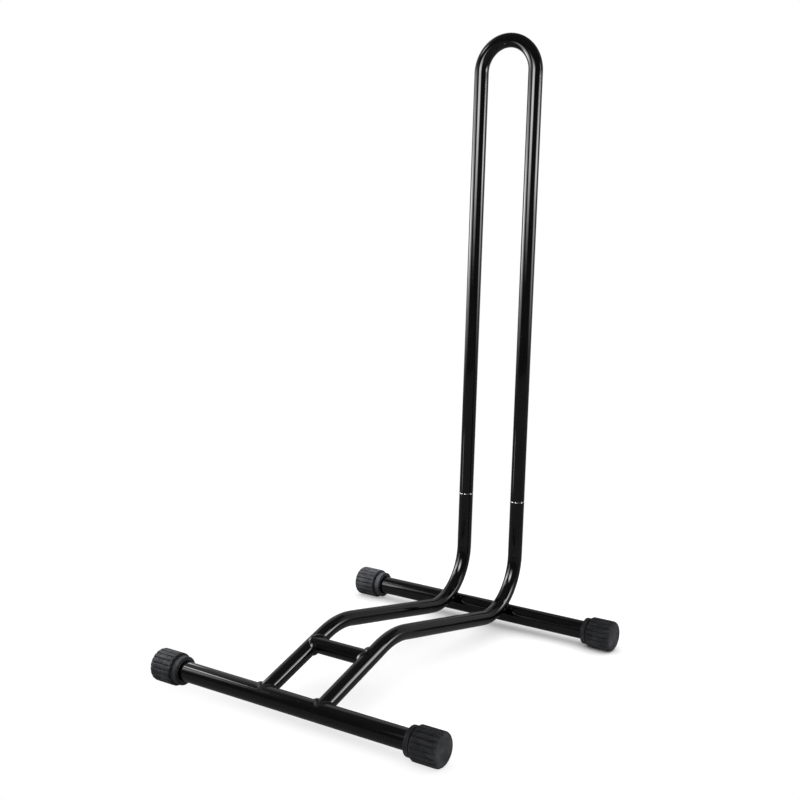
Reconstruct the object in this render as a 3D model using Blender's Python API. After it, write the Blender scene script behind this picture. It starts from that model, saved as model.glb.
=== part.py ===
"""Bike display stand: a welded tube base, a pull-off wheel hoop and four ribbed rubber end caps.

Metres, +Z up. The bike wheel stands between the two legs, +Y is the side of the uprights and +X is to
the right of someone who looks along +Y. The base is laid out from the axis of the front cross tube, and
the whole stand hangs on one empty that puts the middle of its footprint at the world's origin.
"""
import math

import bmesh
import bpy
from mathutils import Matrix, Vector

# Tubes
CROSS_TUBE_DIAMETER = 0.020
CROSS_TUBE_WALL = 0.0012
CROSS_TUBE_LENGTH = 0.332
FRAME_TUBE_DIAMETER = 0.016
FRAME_TUBE_WALL = 0.0012
BRACE_TUBE_DIAMETER = 0.016

# Base frame, seen from the side: distances run back from the axis of the front cross tube
CROSS_TUBE_SPACING = 0.345
LEG_SPACING = 0.068
LEG_FOOT_RISE = 0.0022
KNEE_SETBACK = 0.117
KNEE_HEIGHT = 0.0575
KNEE_BEND_RADIUS = 0.086
HEEL_FLOOR_GAP = 0.015
HEEL_BEND_RADIUS = 0.059
UPRIGHT_LEAN_DEGREES = 1.35
BRACE_TO_KNEE_BEND = 0.020

# Pull-off hoop: swaged spigots slide into the open upper ends of the legs
SPIGOT_LENGTH = 0.040
SPIGOT_CLEARANCE = 0.0003
SPIGOT_TIP_CHAMFER = 0.0015
SPIGOT_TO_HEEL_BEND = 0.0225
TUBE_RIM_CHAMFER = 0.0005
HOOP_STRAIGHT_LENGTH = 0.478

# Rubber end caps, from the outer end face inwards
CAP_DIAMETER = 0.033
CAP_LENGTH = 0.0355
CAP_END_THICKNESS = 0.004
CAP_FACE_CHAMFER = 0.0026
CAP_RIB_COUNT = 20
CAP_RIB_DEPTH = 0.0007
CAP_RIB_RUN_OUT = 0.0004
CAP_RIB_LAND_SHARE = 0.5
CAP_NECK_DIAMETER = 0.0262
CAP_NECK_WIDTH = 0.0024
CAP_COLLAR_DIAMETER = 0.0288
CAP_COLLAR_WIDTH = 0.0052
CAP_COLLAR_CHAMFER = 0.0005

# Weld beads: they lap over both pieces by the toe width, and the crest is where their round face aims
WELD_TOE_WIDTH = 0.0023
WELD_CREST_HEIGHT = 0.0030
WELD_REAR_ROOT = 0.0005
WELD_REAR_THROAT = 0.0019
WELD_REAR_BULGE = 0.0016

# Clear space between two pieces that touch
SEAT_GAP = 0.0003

# Facets
TUBE_SIDES = 20
CROSS_TUBE_SIDES = 24
KNEE_BEND_STEPS = 5
HEEL_BEND_STEPS = 12
CROWN_BEND_STEPS = 12
WELD_STEPS = 28
WELD_FACE_STEPS = 4
SMOOTH_ANGLE = math.radians(35)

# Finishes: base colour, roughness, metallic
BLACK_PAINT = ((0.012, 0.012, 0.013, 1.0), 0.16, 0.0)
CHARCOAL_RUBBER = ((0.045, 0.046, 0.050, 1.0), 0.72, 0.0)

# Sizes worked out from the ones above
CROSS_RADIUS = CROSS_TUBE_DIAMETER / 2
FRAME_RADIUS = FRAME_TUBE_DIAMETER / 2
BRACE_RADIUS = BRACE_TUBE_DIAMETER / 2
CAP_RADIUS = CAP_DIAMETER / 2
SOCKET_RADIUS = FRAME_RADIUS - FRAME_TUBE_WALL
SPIGOT_RADIUS = SOCKET_RADIUS - SPIGOT_CLEARANCE
HOOP_RADIUS = LEG_SPACING / 2
LEAN = math.radians(UPRIGHT_LEAN_DEGREES)
RIB_PITCH = 2 * math.pi / CAP_RIB_COUNT
RIB_LAND_HALF_ANGLE = RIB_PITCH * CAP_RIB_LAND_SHARE / 2
# The stand rests on the flat land of the lowest rib of each cap
CROSS_AXIS_HEIGHT = CAP_RADIUS * math.cos(RIB_LAND_HALF_ANGLE)


def side_point(back, up):
    """A point of the side view, in the plane of one leg."""
    return Vector((0.0, back, up))


def bend(centre, start, angle, steps):
    """Points from start round centre by angle in the side view, without the start point."""
    arm = start - centre
    turns = (Matrix.Rotation(angle * step / steps, 3, "X") for step in range(1, steps + 1))
    return [centre + turn @ arm for turn in turns]


class LegLine:
    """The centreline of one leg in the side view: foot, knee bend, slope, heel bend and upright."""

    def __init__(self):
        self.front_axis = side_point(0, CROSS_AXIS_HEIGHT)
        self.rear_axis = side_point(CROSS_TUBE_SPACING, CROSS_AXIS_HEIGHT)
        self.foot = side_point(0, CROSS_AXIS_HEIGHT + LEG_FOOT_RISE)
        self.upright = side_point(math.sin(LEAN), math.cos(LEAN))

        # The heel bend lies against the front of the rear cross tube, just clear of it
        heel_height = HEEL_FLOOR_GAP + FRAME_RADIUS + HEEL_BEND_RADIUS
        contact = HEEL_BEND_RADIUS + FRAME_RADIUS + SEAT_GAP + CROSS_RADIUS
        drop = heel_height - CROSS_AXIS_HEIGHT
        self.heel_centre = side_point(CROSS_TUBE_SPACING - math.sqrt(contact ** 2 - drop ** 2), heel_height)
        self.heel_normal = (self.rear_axis - self.heel_centre).normalized()

        # The slope runs from the knee corner down to the underside of the heel bend
        knee = side_point(KNEE_SETBACK, KNEE_HEIGHT)
        reach = self.heel_centre - knee
        fall = math.asin(HEEL_BEND_RADIUS / reach.length) - math.atan2(reach.z, reach.y)
        slope = side_point(math.cos(fall), -math.sin(fall))
        heel_start = self.heel_centre + side_point(-math.sin(fall), -math.cos(fall)) * HEEL_BEND_RADIUS

        # The knee bend rounds the corner between foot run and slope
        self.climb = (knee - self.foot).normalized()
        knee_turn = self.climb.angle(slope)
        knee_cut = KNEE_BEND_RADIUS * math.tan(knee_turn / 2)
        knee_start = knee - self.climb * knee_cut
        knee_normal = Matrix.Rotation(-math.pi / 2, 3, "X") @ self.climb
        knee_centre = knee_start + knee_normal * KNEE_BEND_RADIUS
        self.brace = knee_start - self.climb * BRACE_TO_KNEE_BEND

        heel_turn = math.pi / 2 - LEAN + fall
        self.bent = [self.foot, knee_start]
        self.bent += bend(knee_centre, knee_start, -knee_turn, KNEE_BEND_STEPS)
        self.bent += [heel_start] + bend(self.heel_centre, heel_start, heel_turn, HEEL_BEND_STEPS)
        self.rim = self.bent[-1] + self.upright * (SPIGOT_LENGTH + SPIGOT_TO_HEEL_BEND)
        self.seam = self.rim + self.upright * SEAT_GAP
        self.crown = self.seam + self.upright * (HOOP_STRAIGHT_LENGTH + HOOP_RADIUS)


def finish(name, look):
    """A Principled material for one sub-part."""
    colour, roughness, metallic = look
    material = bpy.data.materials.new(name + "_finish")
    material.use_nodes = True
    shader = material.node_tree.nodes["Principled BSDF"]
    shader.inputs["Base Color"].default_value = colour
    shader.inputs["Roughness"].default_value = roughness
    shader.inputs["Metallic"].default_value = metallic
    return material


def add_object(name, bm, parent, location=(0, 0, 0)):
    """Turns a bmesh into a named object with outward faces and smooth round sides."""
    bmesh.ops.recalc_face_normals(bm, faces=bm.faces)
    mesh = bpy.data.meshes.new(name)
    bm.to_mesh(mesh)
    bm.free()
    mesh.shade_smooth()
    mesh.set_sharp_from_angle(angle=SMOOTH_ANGLE)
    obj = bpy.data.objects.new(name, mesh)
    bpy.context.scene.collection.objects.link(obj)
    obj.parent = parent
    obj.location = location
    return obj


def add_part(name, bm, look, parent, location=(0, 0, 0)):
    """A sub-part of the stand, with its own material."""
    obj = add_object(name, bm, parent, location)
    obj.data.materials.append(finish(name, look))
    return obj


def add_guide(name, bm, parent, location=(0, 0, 0)):
    """A solid that only cuts others and is no part of the stand."""
    guide = add_object(name, bm, parent, location)
    guide.hide_render = True
    guide.display_type = "WIRE"
    return guide


def cut(obj, guide):
    """Takes the guide's solid away from an object."""
    modifier = obj.modifiers.new("cut_" + guide.name, "BOOLEAN")
    modifier.operation = "DIFFERENCE"
    modifier.solver = "EXACT"
    modifier.object = guide


def ring(bm, centre, first, second, radius, sides):
    """A circle of vertices in the plane of two unit vectors."""
    verts = []
    for side in range(sides):
        angle = 2 * math.pi * side / sides
        verts.append(bm.verts.new(centre + (first * math.cos(angle) + second * math.sin(angle)) * radius))
    return verts


def skin(bm, rings, closed=False):
    """Faces between neighbouring rings; a closed run also joins the last ring to the first."""
    pairs = list(zip(rings, rings[1:]))
    if closed:
        pairs.append((rings[-1], rings[0]))
    for near, far in pairs:
        count = len(near)
        for side in range(count):
            after = (side + 1) % count
            bm.faces.new((near[side], near[after], far[after], far[side]))


def tube_mesh(points, across, radii, bores, sides):
    """A tube along points that lie square to one direction; without bores it is a solid rod."""
    bm = bmesh.new()
    outer, inner = [], []
    for index, (point, radius) in enumerate(zip(points, radii)):
        ahead = (points[min(index + 1, len(points) - 1)] - point).normalized()
        behind = (point - points[max(index - 1, 0)]).normalized()
        mitre = across.cross((ahead + behind).normalized())
        outer.append(ring(bm, point, across, mitre, radius, sides))
        if bores:
            inner.append(ring(bm, point, across, mitre, bores[index], sides))
    if bores:
        skin(bm, outer + inner[::-1], closed=True)
    else:
        skin(bm, outer)
        bm.faces.new(outer[0])
        bm.faces.new(outer[-1])
    return bm


def straight_tube(length, radius, wall, sides):
    """A plain tube along X, centred, with chamfered rims."""
    half = length / 2
    places = [-half, TUBE_RIM_CHAMFER - half, half - TUBE_RIM_CHAMFER, half]
    radii = [radius - TUBE_RIM_CHAMFER, radius, radius, radius - TUBE_RIM_CHAMFER]
    points = [Vector((place, 0, 0)) for place in places]
    return tube_mesh(points, Vector((0, 1, 0)), radii, [radius - wall] * len(points), sides)


def rod_along_x(length, radius, sides):
    """A solid rod along X, centred, for guides."""
    points = [Vector((-length / 2, 0, 0)), Vector((length / 2, 0, 0))]
    return tube_mesh(points, Vector((0, 1, 0)), [radius, radius], None, sides)


def leg_tube(line):
    """One bent leg, with a chamfered rim at its open upper end."""
    points = line.bent + [line.rim - line.upright * TUBE_RIM_CHAMFER, line.rim]
    radii = [FRAME_RADIUS] * (len(points) - 1) + [FRAME_RADIUS - TUBE_RIM_CHAMFER]
    return tube_mesh(points, Vector((1, 0, 0)), radii, [SOCKET_RADIUS] * len(points), TUBE_SIDES)


def leg_envelope(line):
    """The leg's outer form as a solid, one seat gap larger all round."""
    points = line.bent + [line.rim]
    radii = [FRAME_RADIUS + SEAT_GAP] * len(points)
    return tube_mesh(points, Vector((1, 0, 0)), radii, None, TUBE_SIDES)


def hoop_tube():
    """The upright hoop in its own X-Z plane, with its shoulders at Z = 0 and its spigots below."""
    stations = [
        (-SPIGOT_LENGTH, SPIGOT_RADIUS - SPIGOT_TIP_CHAMFER / 2, SPIGOT_RADIUS - FRAME_TUBE_WALL),
        (SPIGOT_TIP_CHAMFER - SPIGOT_LENGTH, SPIGOT_RADIUS, SPIGOT_RADIUS - FRAME_TUBE_WALL),
        (0, SPIGOT_RADIUS, SPIGOT_RADIUS - FRAME_TUBE_WALL),
        (0, FRAME_RADIUS - TUBE_RIM_CHAMFER, SPIGOT_RADIUS - FRAME_TUBE_WALL),
        (TUBE_RIM_CHAMFER, FRAME_RADIUS, SPIGOT_RADIUS - FRAME_TUBE_WALL),
        (2 * FRAME_TUBE_WALL, FRAME_RADIUS, SOCKET_RADIUS),
        (HOOP_STRAIGHT_LENGTH, FRAME_RADIUS, SOCKET_RADIUS),
    ]
    left = [(Vector((-HOOP_RADIUS, 0, height)), Vector((0, 0, 1)), outer, bore)
            for height, outer, bore in stations]
    right = [(Vector((HOOP_RADIUS, 0, point.z)), Vector((0, 0, -1)), outer, bore)
             for point, _, outer, bore in reversed(left)]
    crown = []
    for step in range(1, CROWN_BEND_STEPS):
        angle = math.pi * step / CROWN_BEND_STEPS
        point = Vector((-math.cos(angle), 0, math.sin(angle))) * HOOP_RADIUS
        point.z += HOOP_STRAIGHT_LENGTH
        heading = Vector((math.sin(angle), 0, math.cos(angle)))
        crown.append((point, heading, FRAME_RADIUS, SOCKET_RADIUS))

    bm = bmesh.new()
    back = Vector((0, 1, 0))
    outer, inner = [], []
    for point, heading, radius, bore in left + crown + right:
        outer.append(ring(bm, point, back, back.cross(heading), radius, TUBE_SIDES))
        inner.append(ring(bm, point, back, back.cross(heading), bore, TUBE_SIDES))
    skin(bm, outer + inner[::-1], closed=True)
    # The two stations at each shoulder share their place and bore, so their inner rings are merged
    bmesh.ops.remove_doubles(bm, verts=bm.verts, dist=SEAT_GAP / 100)
    return bm


def cap_ring(bm, place, radius, groove_depth=0.0):
    """A ring of the cap in its Y-Z plane: two corners of a rib's land and the groove after it."""
    verts = []
    for rib in range(CAP_RIB_COUNT):
        middle = rib * RIB_PITCH - math.pi / 2
        corners = ((-RIB_LAND_HALF_ANGLE, 0), (RIB_LAND_HALF_ANGLE, 0), (RIB_PITCH / 2, groove_depth))
        for turn, depth in corners:
            angle = middle + turn
            reach = radius - depth
            verts.append(bm.verts.new((place, reach * math.cos(angle), reach * math.sin(angle))))
    return verts


def end_cap():
    """A push-on rubber cap: its origin is the tube's end, +X points out of its closed end."""
    outside = CAP_END_THICKNESS + SEAT_GAP
    root = CAP_RADIUS - CAP_RIB_DEPTH
    barrel_end = CAP_LENGTH - CAP_COLLAR_WIDTH - CAP_NECK_WIDTH
    bore = CROSS_RADIUS + SEAT_GAP
    profile = [
        (0, root - CAP_FACE_CHAMFER, 0),
        (CAP_FACE_CHAMFER, root, 0),
        (CAP_FACE_CHAMFER + CAP_RIB_RUN_OUT, CAP_RADIUS, CAP_RIB_DEPTH),
        (barrel_end - CAP_RIB_RUN_OUT, CAP_RADIUS, CAP_RIB_DEPTH),
        (barrel_end, root, 0),
        (barrel_end, CAP_NECK_DIAMETER / 2, 0),
        (barrel_end + CAP_NECK_WIDTH, CAP_NECK_DIAMETER / 2, 0),
        (barrel_end + CAP_NECK_WIDTH, CAP_COLLAR_DIAMETER / 2, 0),
        (CAP_LENGTH - CAP_COLLAR_CHAMFER, CAP_COLLAR_DIAMETER / 2, 0),
        (CAP_LENGTH, CAP_COLLAR_DIAMETER / 2 - CAP_COLLAR_CHAMFER, 0),
        (CAP_LENGTH, bore, 0),
        (CAP_END_THICKNESS, bore, 0),
    ]
    bm = bmesh.new()
    rings = [cap_ring(bm, outside - inward, radius, depth) for inward, radius, depth in profile]
    skin(bm, rings)
    bm.faces.new(rings[0])
    bm.faces.new(rings[-1])
    return bm


def weld_bead(section_at):
    """A closed bead of weld metal; section_at(angle) gives its root, its two toes and its crest."""
    bm = bmesh.new()
    rings = []
    for step in range(WELD_STEPS):
        root, toe, far_toe, crest = section_at(2 * math.pi * step / WELD_STEPS)
        section = [bm.verts.new(root)]
        for face_step in range(WELD_FACE_STEPS + 1):
            share = face_step / WELD_FACE_STEPS
            rise = toe.lerp(crest, share)
            fall = crest.lerp(far_toe, share)
            section.append(bm.verts.new(rise.lerp(fall, share)))
        rings.append(section)
    skin(bm, rings, closed=True)
    return bm


def saddle_weld(host_point, host_axis, host_radius, start, out, radius):
    """The bead round a tube that leaves a host tube at a right angle, from start along out."""
    above = host_axis.cross(out)
    rise = (start - host_point).dot(above)
    host_wall = host_radius + SEAT_GAP
    wall = radius + SEAT_GAP

    def section_at(angle):
        level = rise + wall * math.sin(angle)
        host_angle = math.asin(max(-1, min(1, level / host_wall)))
        host_normal = out * math.cos(host_angle) + above * math.sin(host_angle)
        normal = host_axis * math.cos(angle) + above * math.sin(angle)
        root = host_point + host_axis * wall * math.cos(angle) + host_normal * host_wall
        toe = host_point + host_axis * wall * math.cos(angle) + above * level
        toe += out * (host_wall * math.cos(host_angle) + WELD_TOE_WIDTH)
        host_angle += WELD_TOE_WIDTH / host_wall * math.sin(angle)
        far_toe = host_point + host_axis * (wall + WELD_TOE_WIDTH) * math.cos(angle)
        far_toe += (out * math.cos(host_angle) + above * math.sin(host_angle)) * host_wall
        return root, toe, far_toe, root + (normal + host_normal).normalized() * WELD_CREST_HEIGHT

    return weld_bead(section_at)


def heel_weld(line):
    """The bead in the wedge round the spot where the heel bend lies against the rear cross tube."""
    side = Vector((1, 0, 0))
    along = side.cross(line.heel_normal)
    leg_wall = FRAME_RADIUS + SEAT_GAP
    tube_wall = CROSS_RADIUS + SEAT_GAP
    curvature = 1 / (HEEL_BEND_RADIUS + leg_wall) + 1 / tube_wall

    def reach(angle, opening):
        spread = math.cos(angle) ** 2 / leg_wall + math.sin(angle) ** 2 * curvature
        return math.sqrt(2 * (opening + SEAT_GAP) / spread)

    def walls(angle, distance):
        spread = distance * math.cos(angle)
        run = distance * math.sin(angle)
        outer_bend = HEEL_BEND_RADIUS + math.sqrt(leg_wall ** 2 - spread ** 2)
        across = side * spread + along * run
        on_leg = line.heel_centre + across + line.heel_normal * math.sqrt(outer_bend ** 2 - run ** 2)
        on_tube = line.rear_axis + across - line.heel_normal * math.sqrt(tube_wall ** 2 - run ** 2)
        return on_leg, on_tube

    def section_at(angle):
        outward = side * math.cos(angle) + along * math.sin(angle)
        near_leg, near_tube = walls(angle, reach(angle, WELD_REAR_ROOT))
        toe, far_toe = walls(angle, reach(angle, WELD_REAR_THROAT))
        root = near_leg.lerp(near_tube, 0.5)
        return root, toe, far_toe, toe.lerp(far_toe, 0.5) + outward * WELD_REAR_BULGE

    return weld_bead(section_at)


def build_stand():
    """Makes every sub-part in place."""
    line = LegLine()
    front_edge = -CROSS_AXIS_HEIGHT
    rear_edge = line.crown.y + FRAME_RADIUS
    stand = bpy.data.objects.new("stand", None)
    bpy.context.scene.collection.objects.link(stand)
    stand.location.y = -(front_edge + rear_edge) / 2

    for end, axis in (("front", line.front_axis), ("rear", line.rear_axis)):
        tube = straight_tube(CROSS_TUBE_LENGTH, CROSS_RADIUS, CROSS_TUBE_WALL, CROSS_TUBE_SIDES)
        add_part(end + "_cross_tube", tube, BLACK_PAINT, stand, axis)
        for side, sign in (("left", -1), ("right", 1)):
            seat = axis + Vector((sign * CROSS_TUBE_LENGTH / 2, 0, 0))
            cap = add_part(end + "_" + side + "_cap", end_cap(), CHARCOAL_RUBBER, stand, seat)
            cap.rotation_euler.z = 0 if sign > 0 else math.pi

    brace_points = [Vector((sign * LEG_SPACING / 2, 0, 0)) + line.brace for sign in (-1, 1)]
    brace_bores = [BRACE_RADIUS - FRAME_TUBE_WALL] * 2
    brace_mesh = tube_mesh(brace_points, line.climb, [BRACE_RADIUS] * 2, brace_bores, TUBE_SIDES)
    brace = add_part("cross_brace", brace_mesh, BLACK_PAINT, stand)
    front_room = rod_along_x(CROSS_TUBE_LENGTH, CROSS_RADIUS + SEAT_GAP, CROSS_TUBE_SIDES)
    front_guide = add_guide("front_cross_tube_room", front_room, stand, line.front_axis)

    for side, sign in (("left", -1), ("right", 1)):
        place = Vector((sign * LEG_SPACING / 2, 0, 0))
        leg = add_part(side + "_leg_tube", leg_tube(line), BLACK_PAINT, stand, place)
        cut(leg, front_guide)
        leg_room = add_guide(side + "_leg_room", leg_envelope(line), stand, place)
        cut(brace, leg_room)

        foot_weld = saddle_weld(line.front_axis, Vector((1, 0, 0)), CROSS_RADIUS,
                                line.foot, line.climb, FRAME_RADIUS)
        brace_weld = saddle_weld(line.brace, line.climb, FRAME_RADIUS,
                                 line.brace, Vector((-sign, 0, 0)), BRACE_RADIUS)
        for name, bead in (("front", foot_weld), ("rear", heel_weld(line)), ("brace", brace_weld)):
            add_part(name + "_" + side + "_weld", bead, BLACK_PAINT, stand, place)

    hoop = add_part("upright_hoop", hoop_tube(), BLACK_PAINT, stand, line.seam)
    hoop.rotation_euler.x = -LEAN


def main():
    """Empties the file and builds the stand."""
    for obj in list(bpy.data.objects):
        bpy.data.objects.remove(obj, do_unlink=True)
    build_stand()


main()
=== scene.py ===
"""Bike display stand, dressed: painted tubes, rippled weld beads and ribbed rubber caps in a white studio.

Metres, +Z up. The bike wheel stands between the two legs, +Y is the side of the uprights and +X is to the
right of someone who looks along +Y. Every piece is a surface worked out with numpy along the same lines as
the solid that it stands for, with the facets gone and the finish of the real thing added.
"""

import logging
import math
from collections.abc import Callable
from dataclasses import dataclass
from enum import Enum
from functools import cached_property

import bpy
import numpy as np
from mathutils import Matrix, Vector


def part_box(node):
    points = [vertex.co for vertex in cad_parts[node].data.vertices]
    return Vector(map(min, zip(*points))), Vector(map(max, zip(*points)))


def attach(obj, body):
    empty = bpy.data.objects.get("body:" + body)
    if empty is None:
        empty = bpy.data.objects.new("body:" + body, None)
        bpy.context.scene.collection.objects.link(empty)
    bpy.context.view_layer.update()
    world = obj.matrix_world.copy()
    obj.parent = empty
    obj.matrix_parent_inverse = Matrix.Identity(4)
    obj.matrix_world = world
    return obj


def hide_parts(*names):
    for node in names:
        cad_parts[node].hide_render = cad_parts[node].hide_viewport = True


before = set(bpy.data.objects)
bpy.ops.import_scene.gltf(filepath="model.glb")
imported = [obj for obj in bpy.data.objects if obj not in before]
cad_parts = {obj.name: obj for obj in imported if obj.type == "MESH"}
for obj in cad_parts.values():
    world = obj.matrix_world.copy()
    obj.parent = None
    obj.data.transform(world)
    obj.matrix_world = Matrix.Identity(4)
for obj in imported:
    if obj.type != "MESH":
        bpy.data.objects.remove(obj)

LOG = logging.getLogger("bike_display_stand")
Array = np.ndarray
Colour = tuple[float, float, float]
Point = tuple[float, float, float]
Span = tuple[float, float]
Socket = bpy.types.NodeSocket
Feeds = dict[str | int, object]
SectionMaker = Callable[[Array], tuple[Array, Array, Array, Array]]

X_AXIS = np.array([1.0, 0.0, 0.0])
Y_AXIS = np.array([0.0, 1.0, 0.0])
Z_AXIS = np.array([0.0, 0.0, 1.0])


class Side(Enum):
    """The two sides of the stand, each with its sign along X."""

    LEFT = -1
    RIGHT = 1

    @property
    def word(self) -> str:
        """The side's name as the pieces spell it."""
        return self.name.lower()

    @property
    def outward(self) -> Array:
        """Unit vector from the middle towards this side."""
        return self.value * X_AXIS


class End(Enum):
    """The two cross tubes, by their place on the floor."""

    FRONT = "front"
    REAR = "rear"

    @property
    def tube(self) -> str:
        """Name of the cross tube's CAD node."""
        return self.value + "_cross_tube"

    @property
    def box(self) -> tuple[Array, Array]:
        """Lowest and highest corner of that node."""
        low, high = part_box(self.tube)
        return np.array(low), np.array(high)

    @property
    def middle(self) -> Array:
        """Middle of the cross tube, on its axis."""
        low, high = self.box
        return (low + high) / 2


class Body(Enum):
    """The two bodies that move against each other."""

    BASE = "base"
    HOOP = "hoop"


class Slot(Enum):
    """The record's material slots."""

    FRAME_PAINT = "frame_paint"
    HOOP_PAINT = "hoop_paint"
    WELD_PAINT = "weld_paint"
    CAP_RUBBER = "cap_rubber"


class Reach(Enum):
    """Whether a lamp lights only the things that it names, or all but them."""

    ONLY = "INCLUDE"
    ALL_BUT = "EXCLUDE"


def unit(vector: Array) -> Array:
    """The vector, or each row of vectors, at length one."""
    return vector / np.linalg.norm(vector, axis=-1, keepdims=True)


def ring_angles(count: int) -> Array:
    """Angles of the points of one ring, spaced evenly round a full turn."""
    return np.linspace(0.0, 2 * math.pi, count, endpoint=False)


def smooth(low: float, high: float, value: Array) -> Array:
    """A smooth step, 3t^2 - 2t^3, of t = (value - low) / (high - low) kept from 0 to 1.

    Args:
        low: Value where the step starts.
        high: Value where the step ends; it may be the lower one.
        value: Values to grade.

    Returns:
        Grades from 0 to 1.
    """
    share = np.clip((value - low) / (high - low), 0.0, 1.0)
    return share * share * (3 - 2 * share)


def curves(start: Array, pull: Array, end: Array, steps: int) -> Array:
    """Curves from start to end, bent towards a third point: (1-t)^2 start + 2t(1-t) pull + t^2 end.

    Args:
        start: First points, one row for each curve.
        pull: Points that the curves bend towards.
        end: Last points.
        steps: Steps along each curve.

    Returns:
        Points of shape (curves, steps + 1, dimensions).
    """
    share = np.linspace(0.0, 1.0, steps + 1)[None, :, None]
    bent = (1 - share) ** 2 * start[:, None] + 2 * share * (1 - share) * pull[:, None]
    return bent + share ** 2 * end[:, None]


def rounded_profile(corners: Array, radii: Array, steps: int) -> Array:
    """A flat outline whose corners are rounded by curves.

    Each curve starts and ends on the corner's two sides at the rounding distance, which is at most 0.49 of
    the shorter side.

    Args:
        corners: Corners in order, of shape (count, 2).
        radii: Rounding distance of each corner; the first and last stay sharp.
        steps: Steps along each rounding.

    Returns:
        Points of the outline, of shape (points, 2).
    """
    before, corner, after = corners[:-2], corners[1:-1], corners[2:]
    reach = np.minimum(np.linalg.norm(before - corner, axis=1), np.linalg.norm(after - corner, axis=1))
    reach = np.minimum(radii[1:-1], 0.49 * reach)[:, None]
    near = corner + unit(before - corner) * reach
    far = corner + unit(after - corner) * reach
    return np.vstack([corners[:1], curves(near, corner, far, steps).reshape(-1, 2), corners[-1:]])


def rim_round_off(edge: float, steps: int) -> tuple[Array, Array]:
    """The rounded lip of a tube's end: back = e (1 - sin a) and shrink = e (1 - cos a), over a quarter turn.

    Args:
        edge: Size of the rounding.
        steps: Steps along it.

    Returns:
        Distances before the end, and how much the radius has shrunk there.
    """
    angle = np.linspace(0.0, math.pi / 2, steps + 1)
    return edge * (1 - np.sin(angle)), edge * (1 - np.cos(angle))


@dataclass(frozen=True)
class Route:
    """A centreline: places and unit headings, row by row."""

    places: Array
    headings: Array

    def run(self) -> Array:
        """Distance along the route at each place."""
        steps = np.linalg.norm(np.diff(self.places, axis=0), axis=1)
        return np.concatenate([[0.0], np.cumsum(steps)])

    def then(self, other: "Route") -> "Route":
        """This route followed by another one.

        Args:
            other: The next stretch, which starts where this one ends.

        Returns:
            One route, with the shared place kept once.
        """
        places = np.vstack([self.places, other.places[1:]])
        headings = np.vstack([self.headings, other.headings[1:]])
        return Route(places, headings)


def level_route(places: Array, heading: Array) -> Route:
    """A straight route through places that are given one by one, with one heading for all of them."""
    return Route(places, np.repeat(heading[None, :], len(places), axis=0))


def straight(start: Array, end: Array, steps: int) -> Route:
    """A straight stretch: start + (end - start) t, for t from 0 to 1.

    Args:
        start: First place.
        end: Last place.
        steps: Number of equal steps.

    Returns:
        The stretch as a route.
    """
    share = np.linspace(0.0, 1.0, steps + 1)[:, None]
    return level_route(start + (end - start) * share, unit(end - start))


def bend(centre: Array, start: Array, axis: Array, angle: float, steps: int) -> Route:
    """A round bend: the arm from centre to start turned about the axis, arm cos a + (axis x arm) sin a.

    Args:
        centre: Middle of the bend.
        start: First place.
        axis: Unit vector that the arm turns about, square to the arm.
        angle: Angle of the whole bend in radians, positive by the right-hand rule.
        steps: Number of equal steps.

    Returns:
        The bend as a route.
    """
    turn = np.linspace(0.0, angle, steps + 1)[:, None]
    arm = start - centre
    swept = arm * np.cos(turn) + np.cross(axis, arm) * np.sin(turn)
    return Route(centre + swept, unit(np.cross(axis, swept) * math.copysign(1.0, angle)))


def tube_rings(route: Route, across: Array, radii: Array | float, sides: int) -> Array:
    """Rings of a round tube: place + radius (across cos a + (across x heading) sin a).

    Args:
        route: The centreline.
        across: Unit vector square to every heading.
        radii: Radius at each place, or one for all of them.
        sides: Points in each ring.

    Returns:
        Points of shape (places, sides, 3).
    """
    angles = ring_angles(sides)[None, :, None]
    rise = np.cross(across, route.headings)[:, None, :]
    spokes = across * np.cos(angles) + rise * np.sin(angles)
    return route.places[:, None, :] + spokes * np.broadcast_to(radii, len(route.places))[:, None, None]


def flattened(rings: Array, route: Route, across: Array, share: Array) -> Array:
    """Rings pressed flatter, as a tube is where it has been bent.

    Each point moves towards the centreline along (across x heading), by a share of its distance that way.

    Args:
        rings: Rings of the tube.
        route: Its centreline.
        across: Unit vector square to every heading, along which the rings keep their width.
        share: The share at each place.

    Returns:
        The moved rings.
    """
    rise = np.cross(across, route.headings)[:, None, :]
    swing = np.einsum("ijk,ilk->ij", rings - route.places[:, None, :], rise)
    return rings - rise * (swing * share[:, None])[..., None]


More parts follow.
